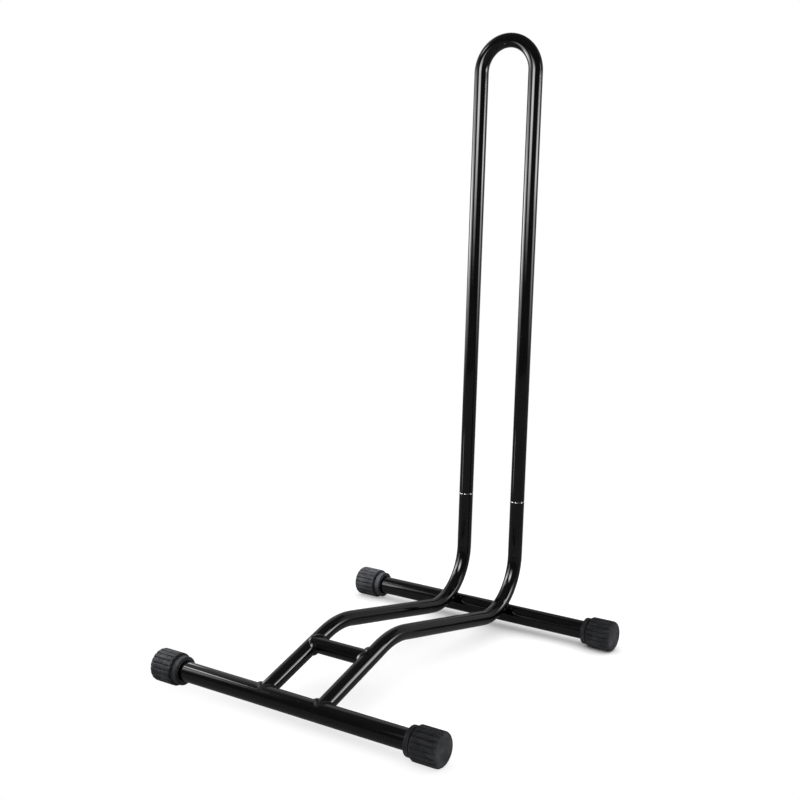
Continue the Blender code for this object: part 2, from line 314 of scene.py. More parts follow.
def ring_mesh(name: str, rings: Array, looped: bool, zones: Array | None = None) -> bpy.types.Mesh:
    """A closed mesh from rings of points, each joined to the next.

    A looped mesh also joins the last ring to the first, and any other one closes each end with a fan to the
    middle of its ring. The faces are turned round if the signed volume, the sum of a . (b x c) / 6 over the
    triangles, is below zero.

    Args:
        name: Name of the mesh.
        rings: Points of shape (rings, sides, 3).
        looped: Whether the last ring joins the first.
        zones: Material number of each band of faces between two rings, or None for one material.

    Returns:
        The mesh, shaded smooth.
    """
    count, sides = rings.shape[:2]
    places = rings.reshape(-1, 3)
    index = np.arange(count * sides).reshape(count, sides)
    if looped:
        index = np.vstack([index, index[:1]])
    near, far = index[:-1], index[1:]
    quads = np.stack([near, np.roll(near, -1, axis=1), np.roll(far, -1, axis=1), far], axis=-1).reshape(-1, 4)
    bands = np.repeat(np.arange(len(near)), sides)
    fans = np.zeros((0, 3), dtype=int)
    if not looped:
        places = np.vstack([places, rings[0].mean(axis=0), rings[-1].mean(axis=0)])
        first, last = index[0], index[-1]
        start_fan = np.stack([np.roll(first, -1), first, np.full(sides, count * sides)], axis=-1)
        end_fan = np.stack([last, np.roll(last, -1), np.full(sides, count * sides + 1)], axis=-1)
        fans = np.vstack([start_fan, end_fan])
        bands = np.concatenate([bands, np.zeros(sides, int), np.full(sides, len(near) - 1)])

    triangles = np.vstack([quads[:, [0, 1, 2]], quads[:, [0, 2, 3]], fans])
    a, b, c = (places[triangles[:, corner]] for corner in range(3))
    if np.einsum("ij,ij->", a, np.cross(b, c)) < 0:
        quads, fans = quads[:, ::-1], fans[:, ::-1]

    corners = np.concatenate([quads.ravel(), fans.ravel()])
    sizes = np.concatenate([np.full(len(quads), 4), np.full(len(fans), 3)])
    mesh = bpy.data.meshes.new(name)
    mesh.vertices.add(len(places))
    mesh.vertices.foreach_set("co", places.astype(np.float32).ravel())
    mesh.loops.add(len(corners))
    mesh.loops.foreach_set("vertex_index", corners.astype(np.int32))
    mesh.polygons.add(len(sizes))
    mesh.polygons.foreach_set("loop_start", (np.cumsum(sizes) - sizes).astype(np.int32))
    if zones is not None:
        mesh.polygons.foreach_set("material_index", zones[bands].astype(np.int32))
    mesh.update(calc_edges=True)
    mesh.validate()
    mesh.shade_smooth()
    return mesh


def wall_mesh(name: str, outer: Array, inner: Array, zones: Array | None = None) -> bpy.types.Mesh:
    """The closed wall of a tube, as one loop of rings: along its outside and back through its bore.

    Args:
        name: Name of the mesh.
        outer: Rings of the outside.
        inner: Rings of the bore, in the same order.
        zones: Material number of each band of faces, or None for one material.

    Returns:
        The mesh.
    """
    return ring_mesh(name, np.vstack([outer, inner[::-1]]), looped=True, zones=zones)


def linked(name: str, data: bpy.types.ID) -> bpy.types.Object:
    """A new object that holds the data, linked into the scene."""
    made = bpy.data.objects.new(name, data)
    bpy.context.scene.collection.objects.link(made)
    return made


def hide_from(thing: bpy.types.Object, *rays: str) -> None:
    """Hides an object from kinds of rays, which are given by Blender's names."""
    for ray in rays:
        setattr(thing, "visible_" + ray, False)


def dress(name: str, node: str, body: Body, mesh: bpy.types.Mesh,
          finishes: list[bpy.types.Material]) -> None:
    """Puts a finished mesh into the scene in place of its CAD node.

    Args:
        name: Name of the piece.
        node: CAD node that it stands for.
        body: Body that it rides on.
        mesh: The piece's mesh, in place.
        finishes: Its materials, in the order of the mesh's zones.
    """
    for finish in finishes:
        mesh.materials.append(finish)
    piece = linked(name, mesh)
    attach(piece, body.value)
    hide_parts(node)
    LOG.info("%s stands for %s on %s: %d faces", name, node, body.value, len(mesh.polygons))


class NodeSheet:
    """The node tree of a material or of the world, with short calls to add nodes and join them."""

    def __init__(self, name: str, world: bool = False) -> None:
        """Starts an empty material or world.

        Args:
            name: Its name.
            world: Whether it is a world.
        """
        self.owner = bpy.data.worlds.new(name) if world else bpy.data.materials.new(name)
        self.owner.use_nodes = True
        self.tree = self.owner.node_tree
        self.tree.nodes.clear()
        self.output = self.node("ShaderNodeOutputWorld" if world else "ShaderNodeOutputMaterial")

    @cached_property
    def place(self) -> Socket:
        """The object's own coordinates."""
        return self.node("ShaderNodeTexCoord").outputs["Object"]

    def node(self, kind: str, feeds: Feeds | None = None, **settings: object) -> bpy.types.Node:
        """Adds a node and fills its inputs.

        Args:
            kind: Blender's name of the node type.
            feeds: What each input gets, by its name or number: a socket, a node, whose first output is
                joined, or a plain value.
            **settings: Attributes of the node.

        Returns:
            The new node.
        """
        made = self.tree.nodes.new(kind)
        for name, value in settings.items():
            setattr(made, name, value)
        for name, feed in (feeds or {}).items():
            source = feed.outputs[0] if isinstance(feed, bpy.types.Node) else feed
            if isinstance(source, Socket):
                self.tree.links.new(source, made.inputs[name])
            else:
                made.inputs[name].default_value = source
        return made

    def finish(self, kind: str, feeds: Feeds) -> None:
        """Adds the last shader and joins it to the output.

        Args:
            kind: Blender's name of the node type.
            feeds: What its inputs get.
        """
        shader = self.node(kind, feeds)
        self.tree.links.new(shader.outputs[0], self.output.inputs["Surface"])

    def reckoned(self, operation: str, first: Socket | float, second: Socket | float) -> Socket:
        """Two values worked into one by a Math node.

        Args:
            operation: Blender's name of the operation.
            first: First value.
            second: Second value.

        Returns:
            The result.
        """
        return self.node("ShaderNodeMath", {0: first, 1: second}, operation=operation).outputs[0]

    def noise(self, waves: float, detail: float, stretch: Point | None = None) -> Socket:
        """Soft noise on the object's own coordinates.

        Args:
            waves: Waves per metre.
            detail: Octaves of finer noise.
            stretch: Factor on the waves along each axis.

        Returns:
            The noise, about 0 to 1.
        """
        place = self.place
        if stretch is not None:
            place = self.node("ShaderNodeMapping", {"Vector": place, "Scale": stretch}).outputs["Vector"]
        noise = self.node("ShaderNodeTexNoise", {"Vector": place, "Scale": waves, "Detail": detail})
        return noise.outputs["Fac"]

    def graded(self, value: Socket, source: Span, target: Span = (0.0, 1.0)) -> Socket:
        """A value moved smoothly from one range to another.

        Args:
            value: The value to grade.
            source: Range of the value.
            target: Range of the result.

        Returns:
            The graded value.
        """
        feeds = {"Value": value, "From Min": source[0], "From Max": source[1],
                 "To Min": target[0], "To Max": target[1]}
        return self.node("ShaderNodeMapRange", feeds, interpolation_type="SMOOTHSTEP").outputs["Result"]

    def colours(self, value: Socket, low: Colour, high: Colour) -> Socket:
        """A colour between two others.

        Args:
            value: 0 for the low colour, 1 for the high one.
            low: First colour.
            high: Second colour.

        Returns:
            The mixed colour.
        """
        mix = self.node("ShaderNodeMix", {"Factor": value}, data_type="RGBA")
        inputs = [socket for socket in mix.inputs if socket.type == "RGBA"]
        for socket, colour in zip(inputs, (low, high)):
            socket.default_value = (*colour, 1.0)
        return next(socket for socket in mix.outputs if socket.type == "RGBA")

    def bump(self, height: Socket, depth: float, strength: float = 1.0,
             under: Socket | None = None) -> Socket:
        """Relief from a height.

        Args:
            height: The height, about 0 to 1.
            depth: Depth in metres for a height of 1.
            strength: Share of the relief that shows.
            under: Relief that lies under this one.

        Returns:
            The changed normal.
        """
        feeds = {"Height": height, "Distance": depth, "Strength": strength}
        if under is not None:
            feeds["Normal"] = under
        return self.node("ShaderNodeBump", feeds).outputs["Normal"]


@dataclass(frozen=True)
class BlackPaint:
    """Baked black paint, with thin places in its colour, a faint orange peel and a slight sag."""

    deep: Colour = (0.0008, 0.0008, 0.001)
    thin: Colour = (0.0022, 0.0020, 0.0019)
    thin_waves: float = 38.0
    thin_span: Span = (0.35, 0.7)
    roughness: Span = (0.045, 0.09)
    haze_waves: float = 120.0
    haze_span: Span = (0.3, 0.75)
    peel_waves: float = 260.0
    peel_depth: float = 0.000010
    sag_waves: float = 55.0
    sag_depth: float = 0.00005
    specular: float = 0.5

    def material(self, name: str) -> bpy.types.Material:
        """Builds the paint.

        Args:
            name: Name of the material.

        Returns:
            The material.
        """
        sheet = NodeSheet(name)
        thinness = sheet.graded(sheet.noise(self.thin_waves, detail=3.0), self.thin_span)
        haze = sheet.graded(sheet.noise(self.haze_waves, detail=4.0), self.haze_span, self.roughness)
        sag = sheet.bump(sheet.noise(self.sag_waves, detail=1.0), self.sag_depth)
        peel = sheet.bump(sheet.noise(self.peel_waves, detail=2.0), self.peel_depth, under=sag)
        sheet.finish("ShaderNodeBsdfPrincipled", {
            "Base Color": sheet.colours(thinness, self.deep, self.thin),
            "Roughness": haze,
            "Normal": peel,
            "Specular IOR Level": self.specular,
        })
        return sheet.owner


@dataclass(frozen=True)
class MouldedRubber:
    """Matt charcoal rubber with a fine mould grain, shallow flow marks and a little bloom."""

    dark: Colour = (0.026, 0.0265, 0.029)
    bloom: Colour = (0.048, 0.049, 0.053)
    bloom_waves: float = 90.0
    bloom_span: Span = (0.4, 0.72)
    roughness: Span = (0.52, 0.70)
    handling_waves: float = 300.0
    handling_span: Span = (0.3, 0.7)
    grain_waves: float = 1500.0
    grain_depth: float = 0.00005
    grain_strength: float = 0.6
    flow_waves: float = 160.0
    flow_depth: float = 0.00025
    flow_strength: float = 0.5
    specular: float = 0.1

    def material(self, name: str) -> bpy.types.Material:
        """Builds the rubber.

        Args:
            name: Name of the material.

        Returns:
            The material.
        """
        sheet = NodeSheet(name)
        bloom = sheet.graded(sheet.noise(self.bloom_waves, detail=5.0), self.bloom_span)
        handling = sheet.noise(self.handling_waves, detail=3.0)
        grain = sheet.bump(sheet.noise(self.grain_waves, detail=2.0), self.grain_depth, self.grain_strength)
        flow = sheet.noise(self.flow_waves, detail=2.0)
        sheet.finish("ShaderNodeBsdfPrincipled", {
            "Base Color": sheet.colours(bloom, self.dark, self.bloom),
            "Roughness": sheet.graded(handling, self.handling_span, self.roughness),
            "Normal": sheet.bump(flow, self.flow_depth, self.flow_strength, under=grain),
            "Specular IOR Level": self.specular,
        })
        return sheet.owner


@dataclass(frozen=True)
class BareSteel:
    """Bright steel where the paint stops, with fine turning marks round the tube."""

    bright: Colour = (0.78, 0.77, 0.75)
    dull: Colour = (0.45, 0.44, 0.43)
    tarnish_waves: float = 420.0
    tarnish_span: Span = (0.35, 0.6)
    roughness: Span = (0.08, 0.16)
    mark_waves: Point = (120.0, 120.0, 4200.0)
    mark_span: Span = (0.3, 0.7)
    mark_depth: float = 0.00001
    mark_strength: float = 0.5

    def material(self, name: str) -> bpy.types.Material:
        """Builds the steel.

        Args:
            name: Name of the material.

        Returns:
            The material.
        """
        sheet = NodeSheet(name)
        marks = sheet.noise(1.0, detail=2.0, stretch=self.mark_waves)
        tarnish = sheet.graded(sheet.noise(self.tarnish_waves, detail=4.0), self.tarnish_span)
        sheet.finish("ShaderNodeBsdfPrincipled", {
            "Base Color": sheet.colours(tarnish, self.dull, self.bright),
            "Roughness": sheet.graded(marks, self.mark_span, self.roughness),
            "Normal": sheet.bump(marks, self.mark_depth, self.mark_strength),
            "Metallic": 1.0,
        })
        return sheet.owner


@dataclass(frozen=True)
class Stock:
    """Sizes of the tube that the stand is made of, and how fine its surfaces are."""

    cross_radius: float = 0.010
    frame_radius: float = 0.008
    brace_radius: float = 0.008
    wall: float = 0.0012
    rim_round: float = 0.0005
    leg_spacing: float = 0.068
    bend_flat: float = 0.018
    sides: int = 72
    lip_steps: int = 6

    @property
    def bore(self) -> float:
        """Inner radius of the frame tube."""
        return self.frame_radius - self.wall

    @property
    def leg_offset(self) -> float:
        """Distance of each leg's plane from the middle."""
        return self.leg_spacing / 2


@dataclass(frozen=True)
class SideView:
    """The line of one leg seen from the side, laid out from the axes of the two cross tubes."""

    stock: Stock
    foot_rise: float = 0.0022
    knee_setback: float = 0.117
    knee_height: float = 0.0575
    knee_radius: float = 0.086
    heel_floor_gap: float = 0.015
    heel_radius: float = 0.059
    lean_degrees: float = 1.35
    stub_to_lip: float = 0.0625
    brace_to_knee_bend: float = 0.020
    seat_gap: float = 0.0003
    foot_steps: int = 48
    knee_steps: int = 36
    slope_steps: int = 60
    heel_steps: int = 84

    @property
    def foot(self) -> Array:
        """Where the leg's line starts, inside the front cross tube."""
        return End.FRONT.middle + Z_AXIS * self.foot_rise

    @property
    def knee(self) -> Array:
        """The corner between the foot run and the slope."""
        return np.array([0.0, End.FRONT.middle[1] + self.knee_setback, self.knee_height])

    @property
    def climb(self) -> Array:
        """Heading of the foot run."""
        return unit(self.knee - self.foot)

    @property
    def upright(self) -> Array:
        """Heading of the uprights, which lean back a little."""
        lean = math.radians(self.lean_degrees)
        return np.array([0.0, math.sin(lean), math.cos(lean)])

    @property
    def heel_centre(self) -> Array:
        """Middle of the heel bend, which lies against the rear cross tube."""
        rear = End.REAR.middle
        height = self.heel_floor_gap + self.stock.frame_radius + self.heel_radius
        contact = self.heel_radius + self.stock.frame_radius + self.seat_gap + self.stock.cross_radius
        setback = math.sqrt(contact ** 2 - (height - rear[2]) ** 2)
        return np.array([0.0, rear[1] - setback, height])

    @property
    def fall(self) -> float:
        """Angle of the slope below level, tangent to the underside of the heel bend."""
        reach = self.heel_centre - self.knee
        return math.asin(self.heel_radius / np.linalg.norm(reach)) - math.atan2(reach[2], reach[1])

    @property
    def slope(self) -> Array:
        """Heading of the slope from the knee down to the heel."""
        return np.array([0.0, math.cos(self.fall), -math.sin(self.fall)])

    @property
    def knee_turn(self) -> float:
        """Angle of the knee bend in radians."""
        return math.acos(float(self.climb @ self.slope))

    @property
    def knee_start(self) -> Array:
        """Where the knee bend starts."""
        return self.knee - self.climb * self.knee_radius * math.tan(self.knee_turn / 2)

    @property
    def brace_place(self) -> Array:
        """Where the brace crosses between the legs' lines."""
        return self.knee_start - self.climb * self.brace_to_knee_bend

    def bent_line(self) -> Route:
        """The line from the foot to the end of the heel bend.

        Returns:
            A straight foot run, the knee bend, a straight slope and the heel bend.
        """
        knee_centre = self.knee_start + np.cross(self.climb, X_AXIS) * self.knee_radius
        knee = bend(knee_centre, self.knee_start, X_AXIS, -self.knee_turn, self.knee_steps)
        heel_start = self.heel_centre + np.cross(self.slope, X_AXIS) * self.heel_radius
        heel_turn = math.pi / 2 - math.radians(self.lean_degrees) + self.fall
        heel = bend(self.heel_centre, heel_start, X_AXIS, heel_turn, self.heel_steps)
        line = straight(self.foot, self.knee_start, self.foot_steps).then(knee)
        return line.then(straight(knee.places[-1], heel_start, self.slope_steps)).then(heel)


@dataclass(frozen=True)
class CrossTube:
    """One of the two straight tubes on the floor, open at both ends inside its caps."""

    stock: Stock
    end: End
    sides: int = 96
    stations: int = 100
    lip_steps: int = 4

    def mesh(self) -> bpy.types.Mesh:
        """The tube's wall along X, with a rounded rim at each end."""
        low, high = self.end.box
        half = (high[0] - low[0]) / 2
        back, shrink = rim_round_off(self.stock.rim_round, self.lip_steps)
        body = np.linspace(-half, half, self.stations + 2)[1:-1]
        along = np.concatenate([-(half - back[::-1]), body, half - back])
        radii = np.full(len(along), self.stock.cross_radius)
        radii[:len(shrink)] -= shrink[::-1]
        radii[-len(shrink):] -= shrink
        route = level_route(self.end.middle + X_AXIS * along[:, None], X_AXIS)
        outer = tube_rings(route, Y_AXIS, radii, self.sides)
        inner = tube_rings(route, Y_AXIS, self.stock.cross_radius - self.stock.wall, self.sides)
        return wall_mesh(self.end.tube + "_wall", outer, inner)

    def build(self, paint: bpy.types.Material) -> None:
        """Makes the tube and paints it."""
        node = self.end.tube
        dress(node + "_painted", node, Body.BASE, self.mesh(), [paint])


@dataclass(frozen=True)
class Leg:
    """One bent leg: coped on to the front cross tube, with an open lip that takes the hoop's spigot."""

    stock: Stock
    view: SideView
    side: Side
    stub_steps: int = 40
    cope_share: float = 0.999
    flat_curve: float = 12.0
    flat_window: int = 9

    def line(self) -> Route:
        """The leg's whole line, with the places of the lip packed closely."""
        bent = self.view.bent_line()
        up = self.view.upright
        top = bent.places[-1] + up * (self.view.stub_to_lip - self.stock.rim_round)
        back, _ = rim_round_off(self.stock.rim_round, self.stock.lip_steps)
        lip = level_route(top + up * (self.stock.rim_round - back[:, None]), up)
        return bent.then(straight(bent.places[-1], top, self.stub_steps)).then(lip)

    def coped(self, rings: Array, radius: float) -> Array:
        """Rings of the foot run moved so that the first one lies on the front cross tube.

        A wall at height h over the tube's axis meets it at sqrt(R^2 - h^2) along the climb, and the shift
        fades out in a straight line along the foot run. Past the cope's share of that run nothing moves.

        Args:
            rings: The leg's rings.
            radius: Radius of the wall that the rings belong to.

        Returns:
            The moved rings.
        """
        above = np.cross(X_AXIS, self.view.climb)
        offset = self.view.foot - End.FRONT.middle
        level = offset @ above + radius * np.sin(ring_angles(rings.shape[1]))
        depth = np.sqrt(np.maximum(self.stock.cross_radius ** 2 - level ** 2, 0.0)) - offset @ self.view.climb
        length = np.linalg.norm(self.view.knee_start - self.view.foot)
        centre = rings.mean(axis=1)
        travelled = (centre - centre[0]) @ self.view.climb
        fade = np.clip(1 - travelled / length, 0.0, 1.0)
        fade[np.argmax(travelled > length * self.cope_share):] = 0.0
        return rings + self.view.climb * (fade[:, None] * depth[None, :])[..., None]

    def flat_share(self, line: Route) -> Array:
        """How much the tube is flattened at each place.

        It grows smoothly with the line's curve, the turn in radians per metre averaged over a window of
        places, and is whole where that has reached flat_curve.

        Args:
            line: The leg's line.

        Returns:
            The share for each place.
        """
        steps = np.maximum(np.gradient(line.run()), 1e-9)
        curve = np.linalg.norm(np.gradient(line.headings, axis=0), axis=1) / steps
        window = np.ones(self.flat_window) / self.flat_window
        return self.stock.bend_flat * smooth(0.0, self.flat_curve, np.convolve(curve, window, mode="same"))

    def mesh(self) -> bpy.types.Mesh:
        """The leg's wall, a little flattened where it is bent, with its lip as the bare zone."""
        line = self.line()
        _, shrink = rim_round_off(self.stock.rim_round, self.stock.lip_steps)
        radii = np.full(len(line.places), self.stock.frame_radius)
        radii[-len(shrink):] -= shrink
        outer = tube_rings(line, X_AXIS, radii, self.stock.sides)
        outer = flattened(outer, line, X_AXIS, self.flat_share(line))
        inner = tube_rings(line, X_AXIS, self.stock.bore, self.stock.sides)
        offset = self.side.outward * self.stock.leg_offset
        zones = np.zeros(len(outer) + len(inner), dtype=int)
        zones[len(outer) - len(shrink):len(outer) + 1] = 1
        return wall_mesh(self.side.word + "_leg_wall", self.coped(outer, self.stock.frame_radius) + offset,
                         self.coped(inner, self.stock.bore) + offset, zones)

    def build(self, paint: bpy.types.Material, steel: bpy.types.Material) -> None:
        """Makes the leg, paints it and leaves its lip bare."""
        node = self.side.word + "_leg_tube"
        dress(node + "_painted", node, Body.BASE, self.mesh(), [paint, steel])


@dataclass(frozen=True)
class Brace:
    """The short tube between the legs, coped on to both."""

    stock: Stock
    view: SideView
    steps: int = 40

    def rings(self, radius: float) -> Array:
        """Rings of one wall, from leg to leg.

        At height h over the legs' lines a leg's skin is sqrt(R^2 - h^2) nearer to the middle, so each
        point runs from minus to plus (offset - that) along X.

        Args:
            radius: Radius of the wall.

        Returns:
            Rings of shape (steps + 1, sides, 3).
        """
        angles = ring_angles(self.stock.sides)
        above = np.cross(X_AXIS, self.view.climb)
        level = radius * np.sin(angles)
        skin = np.sqrt(np.maximum(self.stock.frame_radius ** 2 - level ** 2, 0.0))
        reach = self.stock.leg_offset - skin
        share = np.linspace(-1.0, 1.0, self.steps + 1)
        spokes = self.view.climb * np.cos(angles)[:, None] * radius + above * level[:, None]
        return self.view.brace_place + spokes + X_AXIS * (share[:, None] * reach[None, :])[..., None]

    def build(self, paint: bpy.types.Material) -> None:
        """Makes the brace and paints it."""
        inner_radius = self.stock.brace_radius - self.stock.wall
        mesh = wall_mesh("cross_brace_wall", self.rings(self.stock.brace_radius), self.rings(inner_radius))
        dress("cross_brace_painted", "cross_brace", Body.BASE, mesh, [paint])


@dataclass(frozen=True)
class Hoop:
    """The pull-off hoop: a tall U of frame tube with a swaged spigot at each end."""

    stock: Stock
    view: SideView
    seam_gap: float = 0.0003
    straight_length: float = 0.478
    straight_start: float = 0.002
    straight_stations: int = 150
    spigot_length: float = 0.040
    spigot_clearance: float = 0.0003
    spigot_round: float = 0.0012
    spigot_body_share: float = 0.9
    spigot_stations: int = 12
    tip_steps: int = 4
    swage_height: float = 0.0024
    bare_rim_share: float = 0.9
    crown_steps: int = 120
    crown_run_in: float = 0.25

    def stations(self) -> tuple[Array, Array, Array]:
        """Heights over the shoulder, outer radii and bores of one straight side, from the spigot's tip up.

        The tip is rounded half as deep as it is long, and the bore widens over the swage above the shoulder.

        Returns:
            Three arrays of one length.
        """
        spigot = self.stock.bore - self.spigot_clearance
        spigot_bore = spigot - self.stock.wall
        tip_back, tip_shrink = rim_round_off(self.spigot_round, self.tip_steps)
        lip_back, lip_shrink = rim_round_off(self.stock.rim_round, self.stock.lip_steps)
        body = np.linspace(-self.spigot_body_share, 0.0, self.spigot_stations) * self.spigot_length
        above = np.linspace(self.straight_start, self.straight_length, self.straight_stations)
        height = np.concatenate([tip_back[::-1] - self.spigot_length, body, lip_back[::-1], above])
        radius = np.concatenate([spigot - tip_shrink[::-1] / 2, np.full_like(body, spigot),
                                 self.stock.frame_radius - lip_shrink[::-1],
                                 np.full_like(above, self.stock.frame_radius)])
        bore = spigot_bore + (self.stock.bore - spigot_bore) * smooth(0.0, self.swage_height, height)
        return height, radius, bore

    def round_trip(self, side: Array, crown: Array, sign: float = 1.0) -> Array:
        """One value along the hoop: up the left side, round the crown, and down the right with a sign."""
        return np.concatenate([side, crown, sign * side[::-1]])

    def walls(self) -> tuple[Array, Array, Array]:
        """The hoop's rings, and how high each one is over the shoulder.

        They lie in the hoop's own plane: up the left side, round the crown as (-r cos a, r sin a) over the
        straight, and down the right side.

        Returns:
            Outer rings, inner rings, and heights over the shoulder, with 1 for every ring of the crown.
        """
        height, radius, bore = self.stations()
        offset = self.stock.leg_offset
        upright = self.view.upright
        turn = np.linspace(0.0, math.pi, self.crown_steps + 1)[1:-1]
        still, whole = np.zeros_like(height), np.ones_like(height)
        x = self.round_trip(-offset * whole, -offset * np.cos(turn), -1.0)
        up = self.round_trip(height, self.straight_length + offset * np.sin(turn))
        heading_x = self.round_trip(still, np.sin(turn))
        heading_up = self.round_trip(whole, np.cos(turn), -1.0)
        seam = self.view.bent_line().places[-1] + upright * (self.view.stub_to_lip + self.seam_gap)
        route = Route(seam + X_AXIS * x[:, None] + upright * up[:, None],
                      X_AXIS * heading_x[:, None] + upright * heading_up[:, None])
        across = np.cross(upright, X_AXIS)
        radii = self.round_trip(radius, np.full_like(turn, self.stock.frame_radius))
        bores = self.round_trip(bore, np.full_like(turn, self.stock.bore))
        share = self.round_trip(still, self.stock.bend_flat * smooth(0.0, self.crown_run_in, np.sin(turn)))
        outer = flattened(tube_rings(route, across, radii, self.stock.sides), route, across, share)
        inner = tube_rings(route, across, bores, self.stock.sides)
        return outer, inner, self.round_trip(height, np.ones_like(turn))

    def build(self, paint: bpy.types.Material, steel: bpy.types.Material) -> None:
        """Makes the hoop, paints it and leaves its spigots and shoulders bare."""
        outer, inner, level = self.walls()
        bare = (level < self.stock.rim_round * self.bare_rim_share).astype(int)
        zones = np.concatenate([np.minimum(bare[:-1], bare[1:]), [1], np.zeros(len(inner), dtype=int)])
        mesh = wall_mesh("upright_hoop_wall", outer, inner, zones)
        dress("upright_hoop_painted", "upright_hoop", Body.HOOP, mesh, [paint, steel])


@dataclass(frozen=True)
class WeldBead:
    """A painted bead of weld metal, rippled by the welder's steps.

    Each slow wave has its count round the ring, its size and its share of the seed.
    """

    toe_width: float = 0.0026
    host_toe: float = 0.0042
    crest_height: float = 0.0029
    sink: float = 0.00006
    ripples: int = 15
    ripple_depth: float = 0.05
    ripple_drift: float = 0.35
    drift_waves: int = 3
    wander: float = 0.07
    slow_waves: tuple[tuple[int, float, float], ...] = ((2, 1.0, 1.0), (3, 0.6, 2.3), (5, 0.4, 1.0))
    toe_sway: float = 0.4
    steps: int = 360
    face_steps: int = 18

    def ripple(self, angles: Array, seed: float) -> Array:
        """How full the bead is round its ring.

        Each ripple is a scallop, 1 - |sin|, and the slow waves make the bead swell and thin.

        Args:
            angles: Angles round the ring.
            seed: Shifts the slow waves, so that no two beads are alike.

        Returns:
            Factors about 1.
        """
        drift = self.ripple_drift * np.sin(angles * self.drift_waves + seed)
        scallop = 1 - np.abs(np.sin(angles * self.ripples / 2 + drift))
        slow = sum(size * np.sin(count * angles + share * seed) for count, size, share in self.slow_waves)
        return 1 + self.wander * slow - self.ripple_depth * scallop ** 2

    def mesh(self, name: str, sections: SectionMaker, seed: float) -> bpy.types.Mesh:
        """The bead's closed surface: at each angle a root, and a curve from toe to toe bent by the crest.

        Args:
            name: Name of the mesh.
            sections: Gives roots, toes, far toes and crests for an array of angles.
            seed: Seed of the bead's slow waves.

        Returns:
            The mesh.
        """
        angles = ring_angles(self.steps)
        root, toe, far_toe, crest = sections(angles)
        fullness = self.ripple(angles, seed)[:, None]
        middle = (toe + far_toe) / 2
        crest = middle + (crest - middle) * fullness
        sway = 1 - self.toe_sway + self.toe_sway * fullness
        face = curves(root + (toe - root) * sway, crest, root + (far_toe - root) * sway, self.face_steps)
        return ring_mesh(name, np.concatenate([root[:, None], face], axis=1), looped=True)

    def saddle(self, host_point: Array, host_axis: Array, host_radius: float, start: Array, out: Array,
               radius: float) -> SectionMaker:
        """Sections of the bead round a tube that leaves another at a right angle.

        Round the leaving tube's wall at angle a, the host's wall is met at height sin h = level / R. One toe
        runs out along the tube and the other one round the host.

        Args:
            host_point: A point on the host tube's axis.
            host_axis: Unit vector along it.
            host_radius: Its radius.
            start: Where the leaving tube's line starts.
            out: Unit vector along that line.
            radius: Radius of the leaving tube.

        Returns:
            The section maker.
        """
        above = np.cross(host_axis, out)
        rise = (start - host_point) @ above
        host_wall = host_radius - self.sink
        wall = radius - self.sink

        def sections(angles: Array) -> tuple[Array, Array, Array, Array]:
            """Root, toe, far toe and crest at each angle."""
            cosine, sine = np.cos(angles)[:, None], np.sin(angles)[:, None]
            level = rise + wall * sine
            host_angle = np.arcsin(np.clip(level / host_wall, -1, 1))
            host_normal = out * np.cos(host_angle) + above * np.sin(host_angle)
            normal = host_axis * cosine + above * sine
            foot = host_point + host_axis * wall * cosine
            root = foot + host_normal * host_wall
            toe = foot + above * level + out * (host_wall * np.cos(host_angle) + self.toe_width)
            far_angle = host_angle + self.host_toe / host_wall * sine
            far_toe = host_point + host_axis * (wall + self.host_toe) * cosine
            far_toe = far_toe + (out * np.cos(far_angle) + above * np.sin(far_angle)) * host_wall
            return root, toe, far_toe, root + unit(normal + host_normal) * self.crest_height

        return sections

    def wedge(self, stock: Stock, view: SideView, opening: Span, bulge: float) -> SectionMaker:
        """Sections of the bead in the wedge round the spot where a heel lies on the rear cross tube.

        At spread s and run r from the spot the heel's skin is sqrt((H + sqrt(R^2 - s^2))^2 - r^2) from the
        bend's middle, and the tube's skin is sqrt(C^2 - r^2) from its axis.

        Args:
            stock: Sizes of the tubes.
            view: The leg's line.
            opening: How far the wedge has opened at the root and at the toes.
            bulge: How far the crest stands out past the toes.

        Returns:
            The section maker.
        """
        rear = End.REAR.middle
        normal = unit(rear - view.heel_centre)
        along = np.cross(X_AXIS, normal)
        leg_wall = stock.frame_radius - self.sink
        tube_wall = stock.cross_radius - self.sink
        curvature = 1 / (view.heel_radius + leg_wall) + 1 / tube_wall

        def skins(angles: Array, gap: float) -> tuple[Array, Array]:
            """Points on both skins where the wedge has opened by a gap."""
            cosine, sine = np.cos(angles)[:, None], np.sin(angles)[:, None]
            reach = np.sqrt(2 * gap / (cosine ** 2 / leg_wall + sine ** 2 * curvature))
            spread, run = reach * cosine, reach * sine
            bend_radius = view.heel_radius + np.sqrt(leg_wall ** 2 - spread ** 2)
            flat = X_AXIS * spread + along * run
            on_leg = view.heel_centre + flat + normal * np.sqrt(bend_radius ** 2 - run ** 2)
            on_tube = rear + flat - normal * np.sqrt(tube_wall ** 2 - run ** 2)
            return on_leg, on_tube

        def sections(angles: Array) -> tuple[Array, Array, Array, Array]:
            """Root, toe, far toe and crest at each angle."""
            near_leg, near_tube = skins(angles, opening[0])
            toe, far_toe = skins(angles, opening[1])
            outward = X_AXIS * np.cos(angles)[:, None] + along * np.sin(angles)[:, None]
            return (near_leg + near_tube) / 2, toe, far_toe, (toe + far_toe) / 2 + outward * bulge

        return sections


